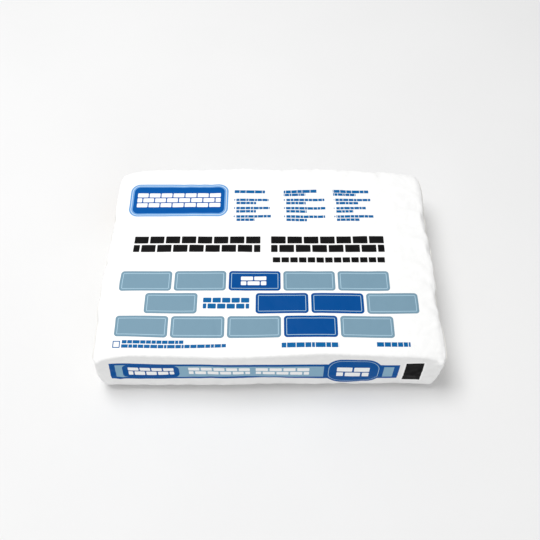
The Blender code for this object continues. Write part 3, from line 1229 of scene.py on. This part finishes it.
# The print on the front side: places along it, and up and down from the line along its middle.
STRIP_ALONG = (-0.2730, 0.2235)
STRIP_HALF = 0.0235
STRIP_BORDER = (0.0092, 0.0062)
SHARP_CORNER = 0.0008
LEFT_BADGE = (-0.2037, 0.0, 0.0487, 0.0180, 0.0110)
STRIP_WALLS = (
    (-0.2430, -0.1644, 0.0105, 0.0205, 4, 2, 0.0024),
    (-0.1386, -0.0330, 0.0125, 0.0220, 5, 2, 0.0028),
    (-0.0230, 0.0690, 0.0125, 0.0220, 4, 2, 0.0028),
)
SIDE_BADGE_GROUND = (0.1455, 0.0, 0.0515, STRIP_HALF, SHARP_CORNER)
SIDE_BADGE = (0.1455, 0.0006, 0.0480, 0.0373, 0.0285)
SIDE_BADGE_EDGE = 0.0045
SIDE_BADGE_WALL = (0.1165, 0.1725, 0.0145, 0.0290, 2, 2, 0.0032)
PRESS_MARK = (0.2487, -0.0008, 0.0152, 0.0285, SHARP_CORNER)
PRESS_MARK_SURROUND = 0.0035


def print_side(ink):
    """The long strip on the front side, and the black press mark beside it."""
    left, right = STRIP_ALONG
    middle, half = (left + right) / 2, (right - left) / 2
    inner = (half - STRIP_BORDER[0], STRIP_HALF - STRIP_BORDER[1])
    ink.lay(SIDE_BLUE_INK, ink.filled_box(middle, 0.0, half, STRIP_HALF, SHARP_CORNER))
    # The strip's grey-blue fill is painted lighter than the top's grey-blue, as painted light against the
    # side's shade.
    ink.lay(PAINTED_LIGHT_SIDE_GREY_BLUE_INK, ink.filled_box(middle, 0.0, *inner, SHARP_CORNER))
    ink.lay(SIDE_BLUE_INK, ink.filled_box(*LEFT_BADGE))
    for wall in STRIP_WALLS:
        # The white bricks, the badge's white wall and the press mark's surround are painted brighter than
        # the paper, as painted light against the side's shade.
        ink.lay(PAINTED_LIGHT_WHITE_INK, ink.bricks(*wall))
    ink.lay(SIDE_BLUE_INK, ink.filled_box(*SIDE_BADGE_GROUND))
    badge = ink.box(*SIDE_BADGE)
    ink.lay(SIDE_BLUE_INK, ink.inside(badge))
    ink.lay(KEYLINE_INK, ink.line(badge, SIDE_BADGE_EDGE, BRICK_KEYLINE))
    ink.lay(PAINTED_LIGHT_WHITE_INK, ink.bricks(*SIDE_BADGE_WALL))
    mark = ink.box(*PRESS_MARK)
    ink.lay(PAINTED_LIGHT_WHITE_INK, ink.inside(mark, -PRESS_MARK_SURROUND))
    ink.lay(BLACK_INK, ink.inside(mark))


def dress_sack(sack):
    """Gives the sack its papers: printed on the top and the front side, and plain elsewhere."""
    mesh = sack.data
    mesh.materials.append(bleached_paper("plain_sack_paper", WHITE_PAPER, handled=PLAIN_HANDLED))
    mesh.materials.append(bleached_paper("printed_top", WHITE_PAPER, print_top))
    mesh.materials.append(bleached_paper("printed_side", WHITE_PAPER, print_side))
    place = stored_at_points(mesh, "place")
    corners = np.array([list(face.vertices) for face in mesh.polygons])
    kind = np.where(faces_on(place, corners, 2, 1), 1, np.where(faces_on(place, corners, 1, -1), 2, 0))
    mesh.polygons.foreach_set("material_index", kind.astype(np.int32))
    mesh.attributes.remove(mesh.attributes["place"])


# The studio.
CAMERA_AT = (0.0016, -0.6912, 1.1507)
CAMERA_DOWN = math.radians(57.5)
PHOTO_SIDE = 540
FOCAL_IN_PIXELS = 679.2
SENSOR = 36.0
FLOOR_RADIUS = 9.0
FLOOR_SIDES = 96
FLOOR_SHADE = 0.985
FLOOR_CLOUD_SCALE = 3.0
FLOOR_GRAIN_SCALE = 400.0
FLOOR_ROUGHNESS = (0.75, 0.9)
FLOOR_SHINE = 0.2
AIR_WHITE = (1.0, 1.0, 1.0, 1.0)
AIR_STRENGTH = 0.52


def studio_floor():
    turn = [2 * math.pi * k / FLOOR_SIDES for k in range(FLOOR_SIDES)]
    points = [(FLOOR_RADIUS * math.cos(a), FLOOR_RADIUS * math.sin(a), 0.0) for a in turn]
    floor = new_piece("studio_floor", points, [list(range(FLOOR_SIDES))])
    material, wires, place = new_material("pale_floor")
    cloud = wires.noise(place, FLOOR_CLOUD_SCALE, detail=4.0)
    grain = wires.noise(place, FLOOR_GRAIN_SCALE, detail=2.0)
    colour = wires.blend(wires.steps(cloud, *FIBRE_BAND), shaded(FLOOR_PALE, FLOOR_SHADE), FLOOR_PALE)
    shine_surface(wires, colour, wires.steps(grain, *FIBRE_BAND, *FLOOR_ROUGHNESS), FLOOR_SHINE)
    floor.data.materials.append(material)


def softbox(name, at, aim, size, power):
    lamp = bpy.data.lights.new(name, "AREA")
    lamp.shape = "RECTANGLE"
    lamp.size, lamp.size_y = size
    lamp.energy = power
    held = bpy.data.objects.new(name, lamp)
    held.location = at
    held.rotation_euler = (Vector(aim) - Vector(at)).to_track_quat("-Z", "Y").to_euler()
    bpy.context.scene.collection.objects.link(held)


def studio():
    """The floor, the air, the lights and the camera."""
    scene = bpy.context.scene
    scene.view_settings.view_transform = "Standard"
    studio_floor()
    world = bpy.data.worlds.new("studio_air")
    world.use_nodes = True
    air = world.node_tree.nodes["Background"]
    air.inputs["Color"].default_value = AIR_WHITE
    air.inputs["Strength"].default_value = AIR_STRENGTH
    scene.world = world
    softbox("overhead_softbox", at=(-1.0, 0.45, 3.3), aim=(0, 0, 0), size=(2.0, 1.6), power=82)
    softbox("front_softbox", at=(0.6, -2.6, 1.3), aim=(0, 0, 0.05), size=(2.0, 1.0), power=10)
    camera = bpy.data.objects.new("camera", bpy.data.cameras.new("camera"))
    camera.data.sensor_width = SENSOR
    camera.data.lens = FOCAL_IN_PIXELS * SENSOR / PHOTO_SIDE
    camera.location = CAMERA_AT
    camera.rotation_euler = (math.pi / 2 - CAMERA_DOWN, 0, 0)
    scene.collection.objects.link(camera)
    scene.camera = camera


def build():
    ink_box_effect()
    ink_rows_effect()
    brick_wall_effect()
    paper_fibre_effect()
    handling_crease_effect()
    near_edge_effect()
    press_ink_effect()

    sack = sack_paper(PaperGrid())
    dress_sack(sack)
    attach(sack, BODY)
    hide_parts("sack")

    surface = surface_of(sack)
    patch_paper = bleached_paper("patch_paper", PATCH_WHITE, handled=PLAIN_HANDLED)
    for name, node, side in (("left_patch", "end_patch_left", -1), ("right_patch", "end_patch_right", 1)):
        patch = end_patch(name, node, surface, side)
        patch.data.materials.append(patch_paper)
        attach(patch, BODY)
        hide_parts(node)
    sleeve = valve_sleeve(surface)
    sleeve.data.materials.append(kraft_paper())
    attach(sleeve, BODY)
    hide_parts("valve_sleeve")
    studio()


build()
